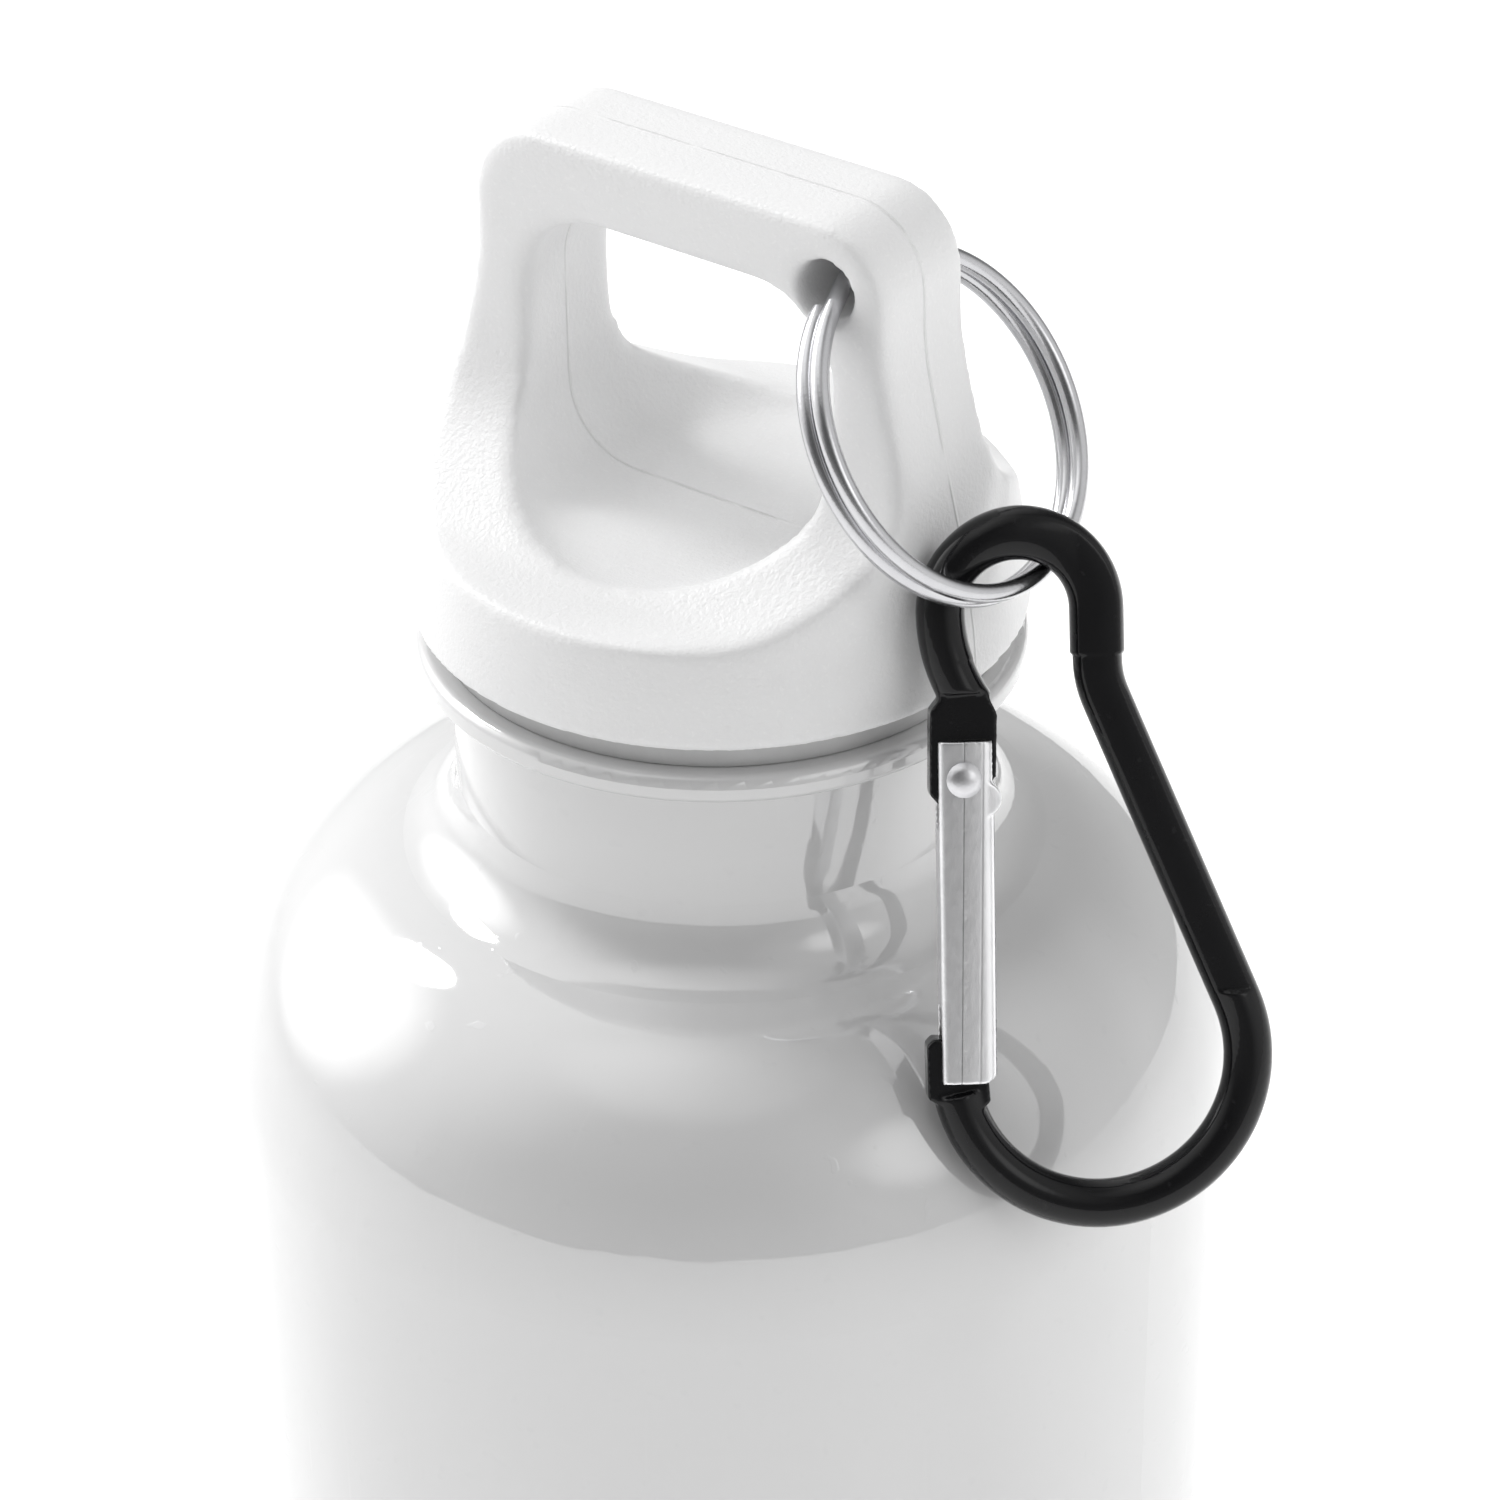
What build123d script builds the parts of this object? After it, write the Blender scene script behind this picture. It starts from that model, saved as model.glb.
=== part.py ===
from build123d import *
import os
from math import cos, radians, sin

# A small aluminium canteen: a one-piece shell with a threaded ring in its neck, a screw cap with a
# carrying loop, a split ring through the loop's corner and a spring-gate carabiner on the ring.
# Origin: centre of the base, on the surface it stands on. +Z up, +X along the carrying loop.

os.makedirs("parts", exist_ok=True)

# ---- driving dimensions, mm ----
body_r = 33.0
wall = 0.9
base_corner_r = 4.5
dome_rise = 5.0
dome_r = 24.0
foot_r = 26.5
shoulder_z = 114.6
shoulder_reach = 15.0
shoulder_rise = 16.6
neck_r = 17.0
neck_blend_r = 4.5
bead_r = 19.2
bead_low = 144.4
bead_high = 146.1

thread_ring_bore_r = 14.2
thread_ring_low = 134.0
thread_pitch = 4.0
thread_depth = 1.05
thread_base = 1.5
thread_tip = 0.7
thread_turns = 1.9

cap_z = 148.0
rim_r = 19.3
plug_r = 12.8
plug_wall = 2.0
plug_low = 134.4
loop_top = 30.0
loop_half_width = 15.2
loop_corner_r = 4.7
loop_half_thickness = 4.4
window_half_width = 11.6
bowl_half_depth = 16.0
window_low = 6.5
window_high = 24.9
window_corner_r = 5.0
hole_x = 11.05
hole_z = 25.75
hole_r = 2.0

seal_r = 17.7
seal_bore_r = 13.1
seal_gap = 0.05

ring_wire_r = 0.57
ring_mean_r = 10.5
ring_step = 1.2
ring_lean = 34.35
ring_seat = 0.5
ring_hang_z = 25.3
ring_jog = 30.0
ring_jog_at = 205.0
jog_reach = 2.0

rod_r = 1.48
eye_rod_r = 1.46
plate_t = 1.7
eye_centre = (-0.46, -3.1)
eye_r = 4.66
eye_tail_r = 10.05
eye_tail_turn = 34.0
bend_centre = (3.93, -30.5)
bend_r = 8.91
spine_slope = 22.0
nose_angle = 190.0
clip_origin = Vector(22.76, -0.366, cap_z + 10.041)
clip_facing = -47.8
clip_lean = 22.5
clip_roll = -0.93

rivet_at = (-4.12, -12.84)
rivet_r = 0.55
rivet_head_r = 1.08
rivet_head_t = 0.48
pivot_clearance = 0.05
gate_sheet = 0.45
gate_depth = 3.0
gate_left = -1.47
gate_right = 1.87
gate_top = 2.25
gate_low = -18.5
gate_tilt = -1.88
spring_r = 0.68
spring_wire_r = 0.14
spring_pitch = 0.62
spring_length = 4.6

# ---- planes ----
facing = Vector(cos(radians(clip_facing)), sin(radians(clip_facing)), 0)
clip_normal = facing * cos(radians(clip_lean)) + Vector(0, 0, sin(radians(clip_lean)))
level_x = Vector(-facing.Y, facing.X, 0)
level_y = clip_normal.cross(level_x)
clip_x = level_x * cos(radians(clip_roll)) + level_y * sin(radians(clip_roll))
clip_plane = Plane(origin=clip_origin, x_dir=clip_x, z_dir=clip_normal)
rivet_point = clip_plane.from_local_coords(Vector(rivet_at[0], rivet_at[1], 0))
rivet_plane = Plane(origin=rivet_point, x_dir=clip_x, z_dir=clip_normal)
gate_plane = rivet_plane.rotated((0, 0, gate_tilt))
loop_plane = Plane(origin=(0, 0, cap_z), x_dir=(1, 0, 0), z_dir=(0, -1, 0))
side_plane = Plane(origin=(0, 0, cap_z), x_dir=(0, 1, 0), z_dir=(1, 0, 0))


def save(piece, name):
    piece.part.label = name
    export_step(piece.part, f"parts/{name}.step")


# ---- bottle shell: deep-drawn wall, domed base, rolled lip ----
def shell_side(inset):
    """Half profile of the shell, moved inwards by inset."""
    with BuildSketch(Plane.XZ) as half:
        with BuildLine():
            dome_z = dome_rise + inset
            dome_edge = (dome_r, inset)
            ThreePointArc((0, dome_z), (dome_r * 0.55, dome_z - dome_rise * 0.27), dome_edge)
            Line(dome_edge, (foot_r, inset))
            corner = body_r - base_corner_r
            Line((foot_r, inset), (corner, inset))
            RadiusArc((corner, inset), (body_r - inset, base_corner_r), -(base_corner_r - inset))
            Line((body_r - inset, base_corner_r), (body_r - inset, shoulder_z))
            EllipticalCenterArc(
                (body_r - shoulder_reach, shoulder_z),
                shoulder_reach - inset,
                shoulder_rise - inset,
                start_angle=0,
                arc_size=80,
            )
            top = (neck_r - inset, bead_low)
            blend = (neck_r - inset, shoulder_z + shoulder_rise - inset + neck_blend_r)
            end = (
                body_r - shoulder_reach + (shoulder_reach - inset) * cos(radians(80)),
                shoulder_z + (shoulder_rise - inset) * sin(radians(80)),
            )
            TangentArc(blend, end, tangent=(0, -1))
            Line(blend, top)
            Line(top, (0, bead_low))
            Line((0, bead_low), (0, dome_z))
        make_face()
    return half.sketch


with BuildPart() as bottle_shell:
    with BuildSketch(Plane.XZ):
        add(shell_side(0))
        add(shell_side(wall), mode=Mode.SUBTRACT)
    revolve(axis=Axis.Z)
    with BuildSketch(Plane.XZ):
        with BuildLine():
            lip_edge = 0.7
            Line((neck_r - wall, bead_low - 0.3), (neck_r, bead_low - 0.3))
            Line((neck_r, bead_low - 0.3), (neck_r, bead_low))
            Line((neck_r, bead_low), (bead_r - 0.3, bead_low))
            RadiusArc((bead_r - 0.3, bead_low), (bead_r, bead_low + 0.5), -0.45)
            Line((bead_r, bead_low + 0.5), (bead_r, bead_high - lip_edge))
            RadiusArc((bead_r, bead_high - lip_edge), (bead_r - lip_edge, bead_high), -lip_edge)
            Line((bead_r - lip_edge, bead_high), (neck_r - wall, bead_high))
            Line((neck_r - wall, bead_high), (neck_r - wall, bead_low - 0.3))
        make_face()
    revolve(axis=Axis.Z)
save(bottle_shell, "bottle_shell")


# ---- threads: a trapezoid ridge swept along a helix ----
def thread_ridge(root_r, outwards, low):
    sign = 1 if outwards else -1
    sink = 0.3
    with BuildPart() as ridge:
        with BuildLine():
            helix = Helix(thread_pitch, thread_pitch * thread_turns, root_r, center=(0, 0, low))
        with BuildSketch(Plane.XZ.offset(0)):
            with BuildLine():
                Polyline(
                    (root_r - sign * sink, low - thread_base / 2),
                    (root_r + sign * thread_depth, low - thread_tip / 2),
                    (root_r + sign * thread_depth, low + thread_tip / 2),
                    (root_r - sign * sink, low + thread_base / 2),
                    close=True,
                )
            make_face()
        sweep(path=helix, is_frenet=True)
    return ridge.part


with BuildPart() as neck_thread_ring:
    with BuildSketch(Plane.XY.offset(thread_ring_low)):
        Circle(neck_r - wall)
        Circle(thread_ring_bore_r, mode=Mode.SUBTRACT)
    extrude(amount=bead_high - thread_ring_low)
    add(thread_ridge(thread_ring_bore_r, False, thread_ring_low + 1.6))
save(neck_thread_ring, "neck_thread_ring")


# ---- cap: rim, scooped dish, carrying loop and hollow threaded plug ----
flank = [(rim_r, 0), (18.45, 7.4), (17.2, 12.8), (15.9, 18.4), (loop_half_width, 24.0)]
front_foot = [(4.4, 19.0), (4.5, 14.6), (5.5, 12.0), (7.6, 10.1), (12.7, 7.3), (rim_r + 1, 6.2)]


with BuildPart() as bowl:
    with BuildSketch(Plane.XY.offset(cap_z + window_low)):
        Ellipse(window_half_width, bowl_half_depth)
    extrude(amount=window_high - window_low)
    fillet(bowl.edges(), window_corner_r)


with BuildPart() as cap_body:
    with BuildSketch(loop_plane) as front_view:
        with BuildLine() as half_front:
            side = Spline(*flank, tangents=((-0.06, 1), (0, 1)))
            knee = (loop_half_width, loop_top - loop_corner_r)
            Line(flank[-1], knee)
            RadiusArc(knee, (loop_half_width - loop_corner_r, loop_top), -loop_corner_r)
            Line((loop_half_width - loop_corner_r, loop_top), (0, loop_top))
            Line((0, loop_top), (0, 0))
            Line((0, 0), (rim_r, 0))
        make_face()
        mirror(about=Plane.YZ)
    extrude(amount=rim_r + 1, both=True)
    with BuildSketch(side_plane) as side_view:
        with BuildLine() as half_side:
            Line((0, 0), (rim_r + 1, 0))
            Line((rim_r + 1, 0), front_foot[-1])
            Spline(*front_foot, tangents=((0, -1), (1, -0.1)))
            Line(front_foot[0], (loop_half_thickness, loop_top + 1))
            Line((loop_half_thickness, loop_top + 1), (0, loop_top + 1))
            Line((0, loop_top + 1), (0, 0))
        make_face()
        mirror(about=Plane.YZ)
    extrude(amount=rim_r + 1, both=True, mode=Mode.INTERSECT)
    with BuildSketch(loop_plane):
        with BuildLine():
            Polyline((0, 0), (rim_r, 0), (19.05, 3.4), (18.45, 7.4), (17.9, 11.5), (17.9, 40), (0, 40), close=True)
        make_face()
    revolve(axis=Axis((0, 0, 0), (0, 0, 1)), mode=Mode.INTERSECT)
    add(bowl.part, mode=Mode.SUBTRACT)
    with BuildSketch(loop_plane):
        with Locations((hole_x, hole_z)):
            Circle(hole_r)
    extrude(amount=rim_r, both=True, mode=Mode.SUBTRACT)
    with BuildSketch(Plane.XY.offset(plug_low)):
        Circle(plug_r)
    extrude(amount=cap_z - plug_low)
    with BuildSketch(Plane.XY.offset(plug_low)):
        Circle(plug_r - plug_wall)
    extrude(amount=cap_z - plug_low + 1.5, mode=Mode.SUBTRACT)
    add(thread_ridge(plug_r, True, plug_low + 1.2 + thread_pitch / 2))
save(cap_body, "cap_body")


# ---- flat sealing washer under the cap's rim ----
with BuildPart() as cap_seal:
    with BuildSketch(Plane.XY.offset(bead_high + seal_gap)):
        Circle(seal_r)
        Circle(seal_bore_r, mode=Mode.SUBTRACT)
    extrude(amount=cap_z - bead_high - 2 * seal_gap)
save(cap_seal, "cap_seal")


# ---- split ring: two turns of wire that change places at a jog ----
ring_down = Vector(sin(radians(ring_lean)), 0, -cos(radians(ring_lean)))
ring_axis = Vector(cos(radians(ring_lean)), 0, sin(radians(ring_lean)))
ring_hinge = Vector(hole_x + 0.06, 0, cap_z + ring_hang_z)
ring_centre = ring_hinge + ring_down * (ring_mean_r - ring_seat)
ring_plane = Plane(origin=ring_centre, x_dir=ring_down, z_dir=ring_axis)


def on_ring(angle, height):
    """Point on the ring at an angle from its lowest point, raised along its axis."""
    spoke = ring_plane.x_dir * cos(radians(angle)) + ring_plane.y_dir * sin(radians(angle))
    return ring_centre + spoke * ring_mean_r + ring_axis * height


def along_ring(angle):
    return ring_plane.y_dir * cos(radians(angle)) - ring_plane.x_dir * sin(radians(angle))


with BuildPart() as split_ring:
    half_step = ring_step / 2
    start = ring_jog_at
    turn_end = start + 360 - ring_jog
    middle = (start + turn_end) / 2
    with BuildLine() as wire:
        ThreePointArc(on_ring(start, -half_step), on_ring(middle, -half_step), on_ring(turn_end, -half_step))
        jog_from = on_ring(turn_end, -half_step)
        jog_to = on_ring(start + 360, half_step)
        jog_in = jog_from + along_ring(turn_end) * jog_reach
        jog_out = jog_to - along_ring(start) * jog_reach
        Bezier(jog_from, jog_in, jog_out, jog_to)
        ThreePointArc(on_ring(start, half_step), on_ring(middle, half_step), on_ring(turn_end, half_step))
    with BuildSketch(Plane(origin=wire.line @ 0, z_dir=wire.line % 0)):
        Circle(ring_wire_r)
    sweep(path=wire.line)
save(split_ring, "split_ring")


# ---- carabiner frame: bent rod with a flat tongue for the gate and a flat nose ----
spine_low = (
    bend_centre[0] + bend_r * cos(radians(spine_slope)),
    bend_centre[1] + bend_r * sin(radians(spine_slope)),
)
waist_x = eye_centre[0] + eye_r
waist = (waist_x, spine_low[1] + (spine_low[0] - waist_x) / sin(radians(spine_slope)) * cos(radians(spine_slope)))
step_z = -5.9
flat_top = -7.75
tongue = [
    (-5.05, -7.7),
    (-2.6, -7.7),
    (-1.95, -9.1),
    (-2.1, -12.84),
    (-3.6, -14.5),
    (-5.5, -14.5),
    (-6.1, -13.8),
    (-5.95, -8.8),
]
nose = [(-6.68, -32.3), (-6.68, -29.0), (-6.25, -28.6), (-4.3, -28.8), (-3.6, -29.4), (-3.62, -31.4)]
nose = nose + [(-2.98, -31.35), (-2.9, -32.6), (-4.2, -33.6)]

with BuildPart() as carabiner_frame:
    with BuildLine(clip_plane) as lower_rod:
        CenterArc(bend_centre, bend_r, nose_angle, 360 + spine_slope - nose_angle)
        FilletPolyline(spine_low, waist, (waist_x, step_z), radius=6.0)
    with BuildSketch(Plane(origin=lower_rod.line @ 0, z_dir=lower_rod.line % 0)):
        Circle(rod_r)
    sweep(path=lower_rod.line)
    with BuildLine(clip_plane) as eye_rod:
        Line((waist_x, step_z), (waist_x, eye_centre[1]))
        CenterArc(eye_centre, eye_r, 0, 180)
        CenterArc((eye_centre[0] - eye_r + eye_tail_r, eye_centre[1]), eye_tail_r, 180, eye_tail_turn)
    with BuildSketch(Plane(origin=eye_rod.line @ 0, z_dir=eye_rod.line % 0)):
        Circle(eye_rod_r)
    sweep(path=eye_rod.line)
    for outline in (tongue, nose):
        with BuildSketch(clip_plane):
            with BuildLine():
                Polyline(*outline, close=True)
            make_face()
        extrude(amount=plate_t / 2, both=True)
    for side in (1, -1):
        flat_plane = Plane(
            origin=clip_origin + clip_normal * side * plate_t / 2,
            x_dir=clip_x * side,
            z_dir=clip_normal * side,
        )
        with BuildSketch(flat_plane):
            with Locations((-3.9 * side, flat_top - 1.5)):
                Rectangle(5.0, 3.0)
        extrude(amount=rod_r, mode=Mode.SUBTRACT)
    with BuildSketch(rivet_plane):
        Circle(rivet_r)
    extrude(amount=plate_t, both=True, mode=Mode.SUBTRACT)
save(carabiner_frame, "carabiner_frame")


# ---- gate: folded channel, open on its outer side at both ends ----
gate_up = Axis(gate_plane.origin, gate_plane.y_dir)
gate_across = Axis(gate_plane.origin, gate_plane.x_dir)
half_depth = gate_depth / 2
lip_high = -3.1
lip_low = -14.0
web_high = -1.95
ear_r = 1.05
ear_out = 0.42
ear_z = -1.25
crease_w = 0.12
crease_t = 0.05
stop_z = -7.6

with BuildPart() as gate:
    with BuildSketch(gate_plane):
        with BuildLine():
            Polyline(
                (gate_left, gate_top),
                (gate_right, gate_top),
                (gate_right, gate_low + 0.4),
                (1.2, gate_low),
                (gate_left, gate_low),
                close=True,
            )
        make_face()
    extrude(amount=half_depth, both=True)
    long_edges = gate.edges().filter_by(gate_up).sort_by(gate_across)
    fillet(long_edges[-2:], 0.7)
    fillet(long_edges[:2], 0.4)
    with BuildSketch(gate_plane):
        with Locations((gate_right + ear_out - ear_r, ear_z)):
            Circle(ear_r)
    extrude(amount=half_depth - 0.05, both=True)
    inner_right = gate_right - gate_sheet
    inner_left = gate_left + gate_sheet
    with BuildSketch(gate_plane):
        with BuildLine():
            Polyline(
                (inner_right, web_high - 0.2),
                (inner_right, gate_low - 1),
                (gate_left - 1, gate_low - 1),
                (gate_left - 1, lip_low),
                (inner_left, lip_low),
                (inner_left, lip_high),
                (gate_left - 1, lip_high),
                (gate_left - 1, gate_top + 1),
                (gate_right + 1, gate_top + 1),
                (gate_right + 1, web_high),
                close=True,
            )
        make_face()
    extrude(amount=half_depth - gate_sheet, both=True, mode=Mode.SUBTRACT)
    with BuildSketch(gate_plane):
        with Locations(((inner_left + inner_right) / 2, stop_z)):
            Rectangle(inner_right - inner_left + 0.2, 0.4)
    extrude(amount=half_depth - gate_sheet / 2, both=True)
    with BuildSketch(gate_plane):
        Circle(rivet_r + pivot_clearance)
    extrude(amount=gate_depth, both=True, mode=Mode.SUBTRACT)
    crease_length = gate_top - gate_low - 1.0
    with BuildSketch(gate_plane.offset(half_depth - crease_t)):
        with Locations((0, (gate_top + gate_low) / 2)):
            Rectangle(crease_w, crease_length)
    extrude(amount=1, mode=Mode.SUBTRACT)
save(gate, "gate")


# ---- rivet: shank through both cheeks and the tongue, domed heads ----
with BuildPart() as gate_rivet:
    with BuildSketch(rivet_plane):
        Circle(rivet_r)
    extrude(amount=half_depth + pivot_clearance + 0.1, both=True)
    for side in (1, -1):
        head_plane = Plane(
            origin=rivet_plane.origin + rivet_plane.z_dir * side * (half_depth + pivot_clearance),
            x_dir=rivet_plane.x_dir,
            z_dir=rivet_plane.z_dir * side,
        )
        with BuildSketch(head_plane):
            Circle(rivet_head_r)
        extrude(amount=rivet_head_t)
    rims = gate_rivet.edges().filter_by(GeomType.CIRCLE).sort_by(Axis(rivet_point, clip_normal))
    fillet([rims[0], rims[-1]], rivet_head_t * 0.9)
save(gate_rivet, "gate_rivet")


# ---- gate spring: a small coil in the channel, between the tongue and the gate's stop ----
with BuildPart() as gate_spring:
    spring_foot = gate_plane.from_local_coords(Vector(0.1, stop_z + 0.4, 0))
    with BuildLine():
        coil = Helix(spring_pitch, spring_length, spring_r, center=spring_foot, direction=gate_plane.y_dir)
    with BuildSketch(Plane(origin=coil @ 0, z_dir=coil % 0)):
        Circle(spring_wire_r)
    sweep(path=coil, is_frenet=True)
save(gate_spring, "gate_spring")
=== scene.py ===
from math import cos, radians, sin
import bpy
from mathutils import Matrix, Vector


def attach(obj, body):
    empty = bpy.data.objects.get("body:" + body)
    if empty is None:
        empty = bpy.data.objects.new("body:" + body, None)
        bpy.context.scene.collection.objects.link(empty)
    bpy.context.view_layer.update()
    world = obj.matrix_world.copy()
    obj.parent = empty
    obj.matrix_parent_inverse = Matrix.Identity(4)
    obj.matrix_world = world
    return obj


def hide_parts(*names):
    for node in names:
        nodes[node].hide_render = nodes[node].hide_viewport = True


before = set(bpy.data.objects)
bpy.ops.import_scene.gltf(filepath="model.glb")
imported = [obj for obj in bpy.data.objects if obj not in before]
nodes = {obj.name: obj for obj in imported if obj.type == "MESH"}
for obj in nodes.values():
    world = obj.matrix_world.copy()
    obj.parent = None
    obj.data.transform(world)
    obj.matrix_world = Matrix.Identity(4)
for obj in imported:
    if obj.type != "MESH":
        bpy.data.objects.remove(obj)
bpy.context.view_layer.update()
print("frame loaded:", len(nodes), "pieces")


def deselectAll():
    if bpy.context.object and bpy.context.object.mode != "OBJECT":
        bpy.ops.object.mode_set(mode="OBJECT")
    bpy.ops.object.select_all(action="DESELECT")


def pick(piece):
    deselectAll()
    piece.select_set(True)
    bpy.context.view_layer.objects.active = piece


def applyModifier(piece, kind, **settings):
    pick(piece)
    modifier = piece.modifiers.new(kind.lower(), kind)
    for name, value in settings.items():
        setattr(modifier, name, value)
    bpy.ops.object.modifier_apply(modifier=modifier.name)


def editMesh(piece):
    pick(piece)
    bpy.ops.object.mode_set(mode="EDIT")
    bpy.ops.mesh.select_all(action="SELECT")


def objectMode():
    bpy.ops.object.mode_set(mode="OBJECT")


def copyOf(node, name):
    piece = bpy.data.objects.new(name, nodes[node].data.copy())
    bpy.context.scene.collection.objects.link(piece)
    editMesh(piece)
    bpy.ops.mesh.remove_doubles(threshold=0.000002)
    objectMode()
    return piece


def remeshed(node, name, voxel):
    piece = copyOf(node, name)
    applyModifier(piece, "REMESH", mode="VOXEL", voxel_size=voxel, adaptivity=0.0)
    return piece


def smooth(piece, rounds, **settings):
    applyModifier(piece, "SMOOTH", factor=0.5, iterations=rounds, **settings)


def finished(piece):
    piece.vertex_groups.clear()
    pick(piece)
    bpy.ops.object.shade_smooth()
    return piece


def paintGroup(piece, name, weightAt):
    group = piece.vertex_groups.new(name=name)
    for point in piece.data.vertices:
        group.add([point.index], weightAt(point.co), "REPLACE")
    return name


def ramp(value, low, high):
    return min(1.0, max(0.0, (value - low) / (high - low)))


# shader maths: a socket that can be added, multiplied and so on
class Wire:
    def __init__(self, finish, socket):
        self.finish = finish
        self.socket = socket

    def math(self, operation, first, second):
        return self.finish.node("Math", {"operation": operation}, {0: first, 1: second})

    def __add__(self, other):
        return self.math("ADD", self, other)

    def __radd__(self, other):
        return self.math("ADD", other, self)

    def __sub__(self, other):
        return self.math("SUBTRACT", self, other)

    def __rsub__(self, other):
        return self.math("SUBTRACT", other, self)

    def __mul__(self, other):
        return self.math("MULTIPLY", self, other)


class Finish:
    def __init__(self, name, colour, **fixed):
        self.material = bpy.data.materials.new(name)
        self.material.use_nodes = True
        self.tree = self.material.node_tree
        self.shader = self.tree.nodes["Principled BSDF"]
        self.shader.inputs["Base Color"].default_value = (*colour, 1)
        for socket, value in fixed.items():
            self.shader.inputs[socket.replace("_", " ")].default_value = value
        self.place = self.node("TexCoord", output="Object")

    def node(self, kind, settings=None, inputs=None, output=0):
        made = self.tree.nodes.new("ShaderNode" + kind)
        for name, value in (settings or {}).items():
            if name == "stops":
                for stop, (at, grey) in zip(made.color_ramp.elements, value):
                    stop.position = at
                    stop.color = (grey, grey, grey, 1)
            else:
                setattr(made, name, value)
        for name, value in (inputs or {}).items():
            if isinstance(value, Wire):
                self.tree.links.new(value.socket, made.inputs[name])
            else:
                made.inputs[name].default_value = value
        return Wire(self, made.outputs[output])

    def noise(self, scale, detail=2.0, roughness=0.5, place=None):
        inputs = {"Vector": place or self.place, "Scale": scale, "Detail": detail, "Roughness": roughness}
        return self.node("TexNoise", None, inputs)

    def turned(self, angles, stretch):
        return self.node("Mapping", None, {"Vector": self.place, "Rotation": angles, "Scale": stretch})

    def between(self, amount, first, second):
        inputs = {"Factor": amount, 6: (*first, 1), 7: (*second, 1)}
        return self.node("Mix", {"data_type": "RGBA"}, inputs, output=2)

    def mask(self, value, low, high):
        return self.node("ValToRGB", {"stops": ((low, 0), (high, 1))}, {"Fac": value})

    def feed(self, socket, wire):
        self.tree.links.new(wire.socket, self.shader.inputs[socket])

    def bump(self, height, strength, distance):
        inputs = {"Height": height, "Strength": strength, "Distance": distance}
        self.feed("Normal", self.node("Bump", None, inputs))

    # ridge left where two mould halves met, along the plane y = 0
    def parting(self, width):
        side = self.node("SeparateXYZ", None, {"Vector": self.place}, output="Y")
        away = self.node("Math", {"operation": "ABSOLUTE"}, {0: side})
        return 1.0 - self.node("MapRange", None, {"Value": away, "From Min": 0.0, "From Max": width})

    # thin line at a set distance from a plane
    def stripe(self, normal, origin, at, width):
        offset = Vector(origin).dot(Vector(normal)) + at
        along = {0: self.place, 1: tuple(normal)}
        height = self.node("VectorMath", {"operation": "DOT_PRODUCT"}, along, output="Value") - offset
        away = self.node("Math", {"operation": "ABSOLUTE"}, {0: height})
        edge = {"Value": away, "From Min": 0.0, "From Max": width}
        return 1.0 - self.node("MapRange", {"interpolation_type": "SMOOTHSTEP"}, edge)

    def on(self, piece):
        piece.data.materials.clear()
        piece.data.materials.append(self.material)
        for face in piece.data.polygons:
            face.material_index = 0


# high-gloss white enamel: faint orange peel, a few specks of dust and hairline rubs
enamel = {
    "white": (0.60, 0.60, 0.60),
    "shade": (0.57, 0.57, 0.575),
    "gloss": 0.03,
    "coat": 0.6,
    "peelScale": 160,
    "peelDepth": 0.0006,
}


def bottleEnamel():
    made = Finish("bottleEnamel", enamel["white"], Coat_Roughness=0.015, IOR=1.9, Coat_IOR=1.6)
    drift = made.noise(45, 3)
    specks = made.mask(made.noise(900, 1), 0.70, 0.76)
    rubs = made.mask(made.noise(60, 2, place=made.turned((0.5, 0.9, 0.3), (30, 1, 1))), 0.68, 0.78)
    made.feed("Base Color", made.between(drift * 0.5 + specks * 0.3, enamel["white"], enamel["shade"]))
    made.feed("Roughness", enamel["gloss"] + drift * 0.03 + rubs * 0.05 + specks * 0.2)
    made.feed("Coat Weight", enamel["coat"] - rubs * 0.25)
    peel = made.noise(enamel["peelScale"], 2)
    made.bump(peel * 0.8 + specks * 0.15, 0.10, enamel["peelDepth"])
    return made


# moulded plastic with a fine spark-eroded grain and a broken parting line; a few glints are painted
# highlights, lighter specks in the colour, and the parting ridge is painted lighter as its highlight
capGrain = {
    "white": (0.78, 0.78, 0.78),
    "shade": (0.725, 0.725, 0.73),
    "roughness": 0.30,
    "grainScale": 3200,
    "paintedGlintScale": 4200,
    "lineWidth": 0.00016,
    "depth": 0.00025,
}


def capPlastic():
    made = Finish("capPlastic", capGrain["white"], IOR=1.49)
    grain = made.noise(capGrain["grainScale"], 2, 0.6)
    flow = made.noise(110, 3)
    paintedGlints = made.mask(made.noise(capGrain["paintedGlintScale"], 0), 0.70, 0.80)
    parting = made.parting(capGrain["lineWidth"]) * made.mask(made.noise(260, 2), 0.34, 0.50)
    # painted highlights: the glints and the parting ridge pull the colour toward the lighter white; flow and
    # grain vary the tone at random
    pale = flow * 0.5 + grain * 0.3 - paintedGlints * 0.5 - parting * 2.2
    made.feed("Base Color", made.between(pale, capGrain["white"], capGrain["shade"]))
    made.feed("Roughness", capGrain["roughness"] + grain * 0.14)
    made.bump(grain * 0.30 + flow * 0.075 + parting * 0.6, 0.64, capGrain["depth"])
    return made


# natural plastic of the threaded ring in the neck
thread = {"pale": (0.86, 0.86, 0.84), "deep": (0.79, 0.79, 0.77), "roughness": 0.38}


def threadPlastic():
    made = Finish("threadPlastic", thread["pale"], Subsurface_Weight=0.1, Subsurface_Scale=0.003)
    flow = made.noise(200, 3)
    made.feed("Base Color", made.between(flow, thread["pale"], thread["deep"]))
    made.feed("Roughness", thread["roughness"] + flow * 0.15)
    made.bump(made.noise(1500, 2), 0.1, 0.0002)
    return made


# grey washer under the cap's rim; its grey is partly the silicone's own colour and partly painted shade for
# the shadowed gap between the rim and the bead
seal = {"pale": (0.54, 0.54, 0.54), "deep": (0.44, 0.44, 0.44), "roughness": 0.45}


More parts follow.
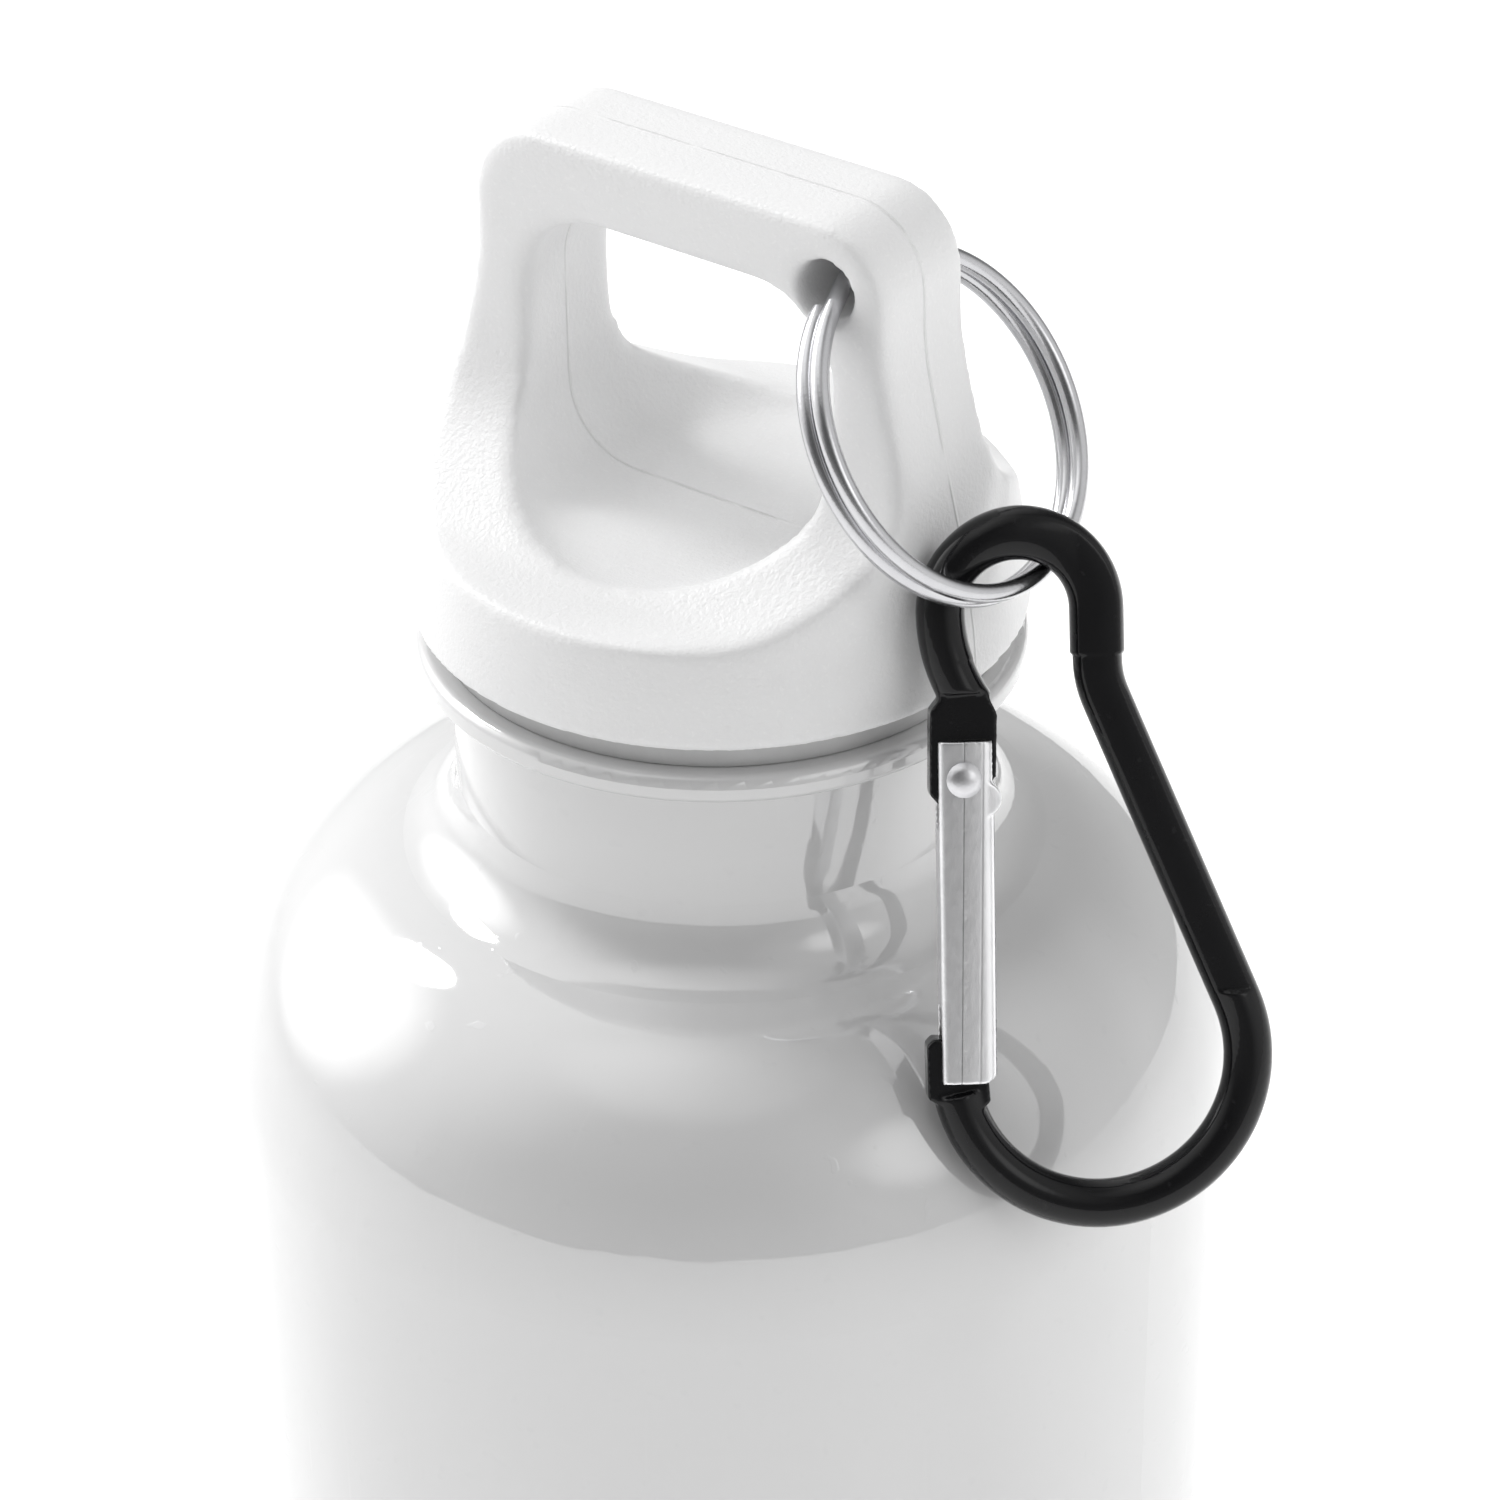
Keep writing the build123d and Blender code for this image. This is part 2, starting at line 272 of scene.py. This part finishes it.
def sealSilicone():
    made = Finish("sealSilicone", seal["pale"])
    flow = made.noise(300, 3)
    made.feed("Base Color", made.between(flow, seal["pale"], seal["deep"]))
    made.feed("Roughness", seal["roughness"] + flow * 0.2)
    made.bump(made.noise(2500, 2), 0.12, 0.0002)
    return made


# nickel-plated spring wire, buffed and then handled
ring = {"bright": (0.68, 0.68, 0.69), "dull": (0.50, 0.50, 0.52), "roughness": 0.12}


def ringSteel():
    made = Finish("ringSteel", ring["bright"], Metallic=1.0)
    handled = made.noise(260, 4, 0.6)
    fine = made.noise(3800, 2, 0.6)
    made.feed("Base Color", made.between(handled, ring["bright"], ring["dull"]))
    made.feed("Roughness", ring["roughness"] + handled * 0.10 + fine * 0.06)
    made.bump(fine, 0.06, 0.0001)
    return made


# gloss black coat over aluminium: soft highlights, dulled a little where it is handled
blackCoat = {"black": (0.004, 0.004, 0.0045), "toneAndCreaseShade": (0.014, 0.014, 0.015), "roughness": 0.17, "coat": 0.85}


def clipEnamel():
    made = Finish("clipEnamel", blackCoat["black"], Coat_Roughness=0.05, IOR=1.14, Coat_IOR=1.38)
    handled = made.noise(240, 4, 0.6)
    fine = made.noise(2600, 2, 0.6)
    pits = made.mask(made.noise(1400, 1), 0.72, 0.78)
    wear = handled * 0.5 + pits * 0.5
    made.feed("Base Color", made.between(wear, blackCoat["black"], blackCoat["toneAndCreaseShade"]))
    made.feed("Roughness", blackCoat["roughness"] + handled * 0.10 + pits * 0.15)
    made.feed("Coat Weight", blackCoat["coat"] - handled * 0.3)
    made.bump(fine * 0.5 + handled * 0.8, 0.10, 0.0003)
    return made


# rolled sheet: fine lines along the gate and a crease down its face with a fold beside it; darker stripes
# along the crease and the fold are painted shade
gateFace = {
    "bright": (0.95, 0.95, 0.96),
    "dark": (0.36, 0.36, 0.37),
    "roughness": 0.24,
    "origin": (0.022837, -0.006894, 0.146242),
    "across": (0.7525, 0.6570, -0.0453),
    "tilt": -1.88,
    "creaseWidth": 0.00007,
    "foldAt": 0.00112,
    "foldWidth": 0.00012,
    "middle": 0.0002,
    "half": 0.00167,
    "drop": 0.00016,
    "mostDrop": 1.3,
    "faceAbove": 0.0009,
}


def gateAluminium():
    made = Finish("gateAluminium", gateFace["bright"], Metallic=1.0)
    lines = made.noise(900, 3, 0.6, place=made.turned((0.35, 0.15, -0.7), (4.0, 4.0, 0.08)))
    cloud = made.noise(320, 3)
    crease = made.stripe(gateFace["across"], gateFace["origin"], 0.0, gateFace["creaseWidth"])
    fold = made.stripe(gateFace["across"], gateFace["origin"], gateFace["foldAt"], gateFace["foldWidth"])
    # cloudy tone at random, plus painted shade: darker stripes along the crease and the fold
    toneAndCreaseShade = cloud * 0.3 + crease * 0.9 + fold * 0.35
    made.feed("Base Color", made.between(toneAndCreaseShade, gateFace["bright"], gateFace["dark"]))
    made.feed("Roughness", gateFace["roughness"] + lines * 0.16 + cloud * 0.06)
    made.bump(lines * 0.5 - crease * 0.3 - fold * 0.3, 0.20, 0.00015)
    return made


rivet = {
    "bright": (0.80, 0.80, 0.81),
    "dark": (0.58, 0.58, 0.60),
    "roughness": 0.26,
    "headRadius": 0.001,
    "seat": 0.00155,
    "doming": 0.55,
}


def rivetAluminium():
    made = Finish("rivetAluminium", rivet["bright"], Metallic=1.0)
    cloud = made.noise(700, 3)
    made.feed("Base Color", made.between(cloud, rivet["bright"], rivet["dark"]))
    made.feed("Roughness", rivet["roughness"] + cloud * 0.2)
    made.bump(made.noise(2200, 2), 0.12, 0.0002)
    return made


spring = {"bright": (0.68, 0.68, 0.70), "dark": (0.48, 0.48, 0.50), "roughness": 0.22}


def springWire():
    made = Finish("springWire", spring["bright"], Metallic=1.0)
    cloud = made.noise(1200, 3)
    made.feed("Base Color", made.between(cloud, spring["bright"], spring["dark"]))
    made.feed("Roughness", spring["roughness"] + cloud * 0.2)
    return made


# cap: the moulding with every edge rounded as it leaves the tool
cap = {
    "voxel": 0.00036,
    "crispBelow": 0.1489,
    "softAbove": 0.1515,
    "holeAt": (0.01105, 0.17375),
    "holeReach": 0.0031,
    "plugTop": 0.1478,
    "barZ": (0.158, 0.166),
    "edgeY": (0.0028, 0.0036),
    "rounds": 12,
    "edgeRounds": 26,
}


def capBody():
    piece = remeshed("cap_body", "capMoulding", cap["voxel"])

    def softness(point):
        off = Vector((point.x - cap["holeAt"][0], point.z - cap["holeAt"][1])).length
        nearHole = ramp(off, cap["holeReach"] * 0.75, cap["holeReach"])
        return ramp(point.z, cap["crispBelow"], cap["softAbove"]) * (0.25 + 0.75 * nearHole)

    def barEdges(point):
        return softness(point) * ramp(point.z, *cap["barZ"]) * ramp(abs(point.y), *cap["edgeY"])

    softGroup = paintGroup(piece, "soft", softness)
    edgeGroup = paintGroup(piece, "edges", barEdges)
    allGroup = paintGroup(piece, "all", lambda point: 1.0 if point.z > cap["plugTop"] else 0.0)
    smooth(piece, 2, vertex_group=allGroup)
    smooth(piece, cap["rounds"], vertex_group=softGroup)
    smooth(piece, cap["edgeRounds"], vertex_group=edgeGroup)
    return finished(piece)


# carabiner: one bent rod, its eye left full and its spine pressed a little flat
clip = {
    "voxel": 0.00013,
    "rounds": 5,
    "origin": (0.02276, -0.000366, 0.158041),
    "facing": -47.8,
    "lean": 22.5,
    "roll": -0.93,
    "stepAt": -0.0058,
    "eyeSide": (-0.0045, -0.0005),
    "eyeSwell": 0.00017,
    "flatAt": 0.00110,
    "flatSide": (-0.003, 0.003),
    "pressed": 0.85,
    "spineEnd": -0.0265,
}


def clipAxes():
    turn, lean, roll = (radians(clip[name]) for name in ("facing", "lean", "roll"))
    outward = Vector((cos(turn) * cos(lean), sin(turn) * cos(lean), sin(lean)))
    levelX = Vector((-sin(turn), cos(turn), 0))
    levelY = outward.cross(levelX)
    across = levelX * cos(roll) + levelY * sin(roll)
    return across, outward.cross(across), outward


def carabinerFrame():
    piece = remeshed("carabiner_frame", "carabinerRod", clip["voxel"])
    smooth(piece, clip["rounds"])
    across, along, outward = clipAxes()
    origin = Vector(clip["origin"])

    def inClip(point):
        off = point - origin
        return off.dot(across), off.dot(along), off.dot(outward)

    def eyeFull(point):
        side, height, _ = inClip(point)
        return ramp(side, *clip["eyeSide"]) if height > clip["stepAt"] else 0.0

    eye = paintGroup(piece, "eye", eyeFull)
    applyModifier(piece, "DISPLACE", strength=clip["eyeSwell"], mid_level=0.0, vertex_group=eye)
    for point in piece.data.vertices:
        side, height, depth = inClip(point.co)
        if height > clip["spineEnd"] and abs(depth) > clip["flatAt"]:
            over = (abs(depth) - clip["flatAt"]) * clip["pressed"] * ramp(side, *clip["flatSide"])
            point.co -= outward * (over if depth > 0 else -over)
    smooth(piece, 2)
    return finished(piece)


# gate and rivet: sheared edges eased
def easedCopy(node, name, voxel, rounds):
    piece = remeshed(node, name, voxel)
    smooth(piece, rounds)
    return finished(piece)


def gateAxes():
    across, along, outward = clipAxes()
    tilt = radians(gateFace["tilt"])
    return across * cos(tilt) + along * sin(tilt), along * cos(tilt) - across * sin(tilt), outward


# the gate's face is crowned: it falls away a little to both folds
def gateChannel():
    piece = easedCopy("gate", "gateChannel", 0.00009, 6)
    across, _, outward = gateAxes()
    for point in piece.data.vertices:
        off = point.co - Vector(gateFace["origin"])
        depth = off.dot(outward)
        fromMiddle = (off.dot(across) - gateFace["middle"]) / gateFace["half"]
        if depth > gateFace["faceAbove"]:
            point.co -= outward * gateFace["drop"] * min(gateFace["mostDrop"], fromMiddle**2)
    return piece


# the rivet's heads are domes
def rivetHeads():
    piece = easedCopy("gate_rivet", "rivetHeads", 0.00005, 6)
    across, along, outward = gateAxes()
    for point in piece.data.vertices:
        off = point.co - Vector(gateFace["origin"])
        depth = off.dot(outward)
        reach = Vector((off.dot(across), off.dot(along))).length / rivet["headRadius"]
        above = max(0.0, abs(depth) - rivet["seat"])
        fall = rivet["doming"] * above * min(1.0, reach**2)
        point.co -= outward * (fall if depth > 0 else -fall)
    return piece


def place(piece, finish, body, node, slot):
    finish.on(piece)
    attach(piece, body)
    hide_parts(node)
    print(piece.name + ":", len(piece.data.polygons), "faces")


place(capBody(), capPlastic(), "cap", "cap_body", "white_matte_plastic")
place(carabinerFrame(), clipEnamel(), "carabiner", "carabiner_frame", "black_gloss_coat")
place(gateChannel(), gateAluminium(), "gate", "gate", "satin_aluminium")
place(rivetHeads(), rivetAluminium(), "carabiner", "gate_rivet", "rivet_aluminium")

bottleEnamel().on(nodes["bottle_shell"])
threadPlastic().on(nodes["neck_thread_ring"])
sealSilicone().on(nodes["cap_seal"])
ringSteel().on(nodes["split_ring"])
springWire().on(nodes["gate_spring"])
print("finishes on")

# studio: pale floor, soft round boxes, a dim sky that glows on both sides
studio = {
    "floorSize": 6.0,
    "floorPale": (0.94, 0.94, 0.94),
    "floorDeep": (0.925, 0.925, 0.925),
    "floorGlow": 0.26,
    "skyDim": 0.13,
    # toward, where the glow starts and is full, how strong
    "skies": [
        ((0, 0, -1), -0.45, 0.0, 0.20),
        ((-0.80, -0.02, 0.60), 0.35, 1.0, 1.35),
        ((-0.90, -0.16, 0.40), 0.88, 0.99, 2.2),
        ((0.80, 0.30, 0.45), 0.50, 1.0, 0.7),
        ((0.86, -0.10, 0.50), 0.95, 1.0, 1.2),
        ((0.05, -0.25, 1.0), 0.90, 1.0, 0.6),
    ],
    "aim": (0.0, 0.0, 0.14),
    # name, place, size, watts, seen in the gloss
    "boxes": [
        ("keyBox", (-0.62, 0.02, 0.75), 0.20, 2.0, True),
        ("rimBox", (0.45, 0.45, 0.60), 0.20, 0.9, False),
        ("topBox", (0.25, -0.35, 1.05), 0.14, 0.4, False),
    ],
}


class Sky(Finish):
    def __init__(self, name):
        self.world = bpy.data.worlds.new(name)
        self.world.use_nodes = True
        self.tree = self.world.node_tree
        self.shader = self.tree.nodes["Background"]
        self.shader.inputs["Color"].default_value = (1, 1, 1, 1)
        self.place = self.node("TexCoord", output="Generated")

    def glow(self, toward, low, high, power):
        aim = {0: self.place, 1: tuple(Vector(toward).normalized())}
        facing = self.node("VectorMath", {"operation": "DOT_PRODUCT"}, aim, output="Value")
        soft = {"Value": facing, "From Min": low, "From Max": high}
        return self.node("MapRange", {"interpolation_type": "SMOOTHSTEP"}, soft) * power


def makeFloor():
    bpy.ops.mesh.primitive_grid_add(x_subdivisions=8, y_subdivisions=8, size=studio["floorSize"])
    floor = bpy.context.object
    floor.name = "floor"
    paper = Finish("floorPaper", studio["floorPale"], Roughness=0.8, Emission_Strength=studio["floorGlow"])
    paper.shader.inputs["Emission Color"].default_value = (1, 1, 1, 1)
    cloud = paper.noise(30, 3)
    paper.feed("Base Color", paper.between(cloud, studio["floorPale"], studio["floorDeep"]))
    paper.on(floor)


def makeSky():
    sky = Sky("studioSky")
    light = studio["skyDim"]
    for toward, low, high, power in studio["skies"]:
        light = light + sky.glow(toward, low, high, power)
    sky.feed("Strength", light)
    bpy.context.scene.world = sky.world


def makeBoxes():
    for name, spot, size, power, glossy in studio["boxes"]:
        bpy.ops.object.light_add(type="AREA", location=spot)
        box = bpy.context.object
        box.name = name
        box.data.shape = "DISK"
        box.data.size = size
        box.data.energy = power
        box.visible_glossy = glossy
        aim = Vector(studio["aim"]) - Vector(spot)
        box.rotation_euler = aim.to_track_quat("-Z", "Y").to_euler()


# camera: angles in degrees, lens in millimetres
view = {
    "place": (0.16787, -0.22187, 0.31126),
    "turn": 36.769,
    "dip": 32.186,
    "roll": -0.726,
    "lens": 124.18,
}


def makeCamera():
    turn, dip, roll = (radians(view[name]) for name in ("turn", "dip", "roll"))
    right = Vector((cos(turn), sin(turn), 0))
    forward = Vector((-sin(turn) * cos(dip), cos(turn) * cos(dip), -sin(dip)))
    up = right.cross(forward)
    across = right * cos(roll) + up * sin(roll)
    above = up * cos(roll) - right * sin(roll)
    stance = Matrix((across, above, -forward)).transposed()
    bpy.ops.object.camera_add(location=view["place"], rotation=stance.to_euler())
    camera = bpy.context.object
    camera.data.lens = view["lens"]
    camera.data.sensor_width = 36
    camera.data.clip_start = 0.01
    bpy.context.scene.camera = camera
    bpy.context.scene.view_settings.view_transform = "Standard"


makeFloor()
makeSky()
makeBoxes()
makeCamera()
print("studio ready")
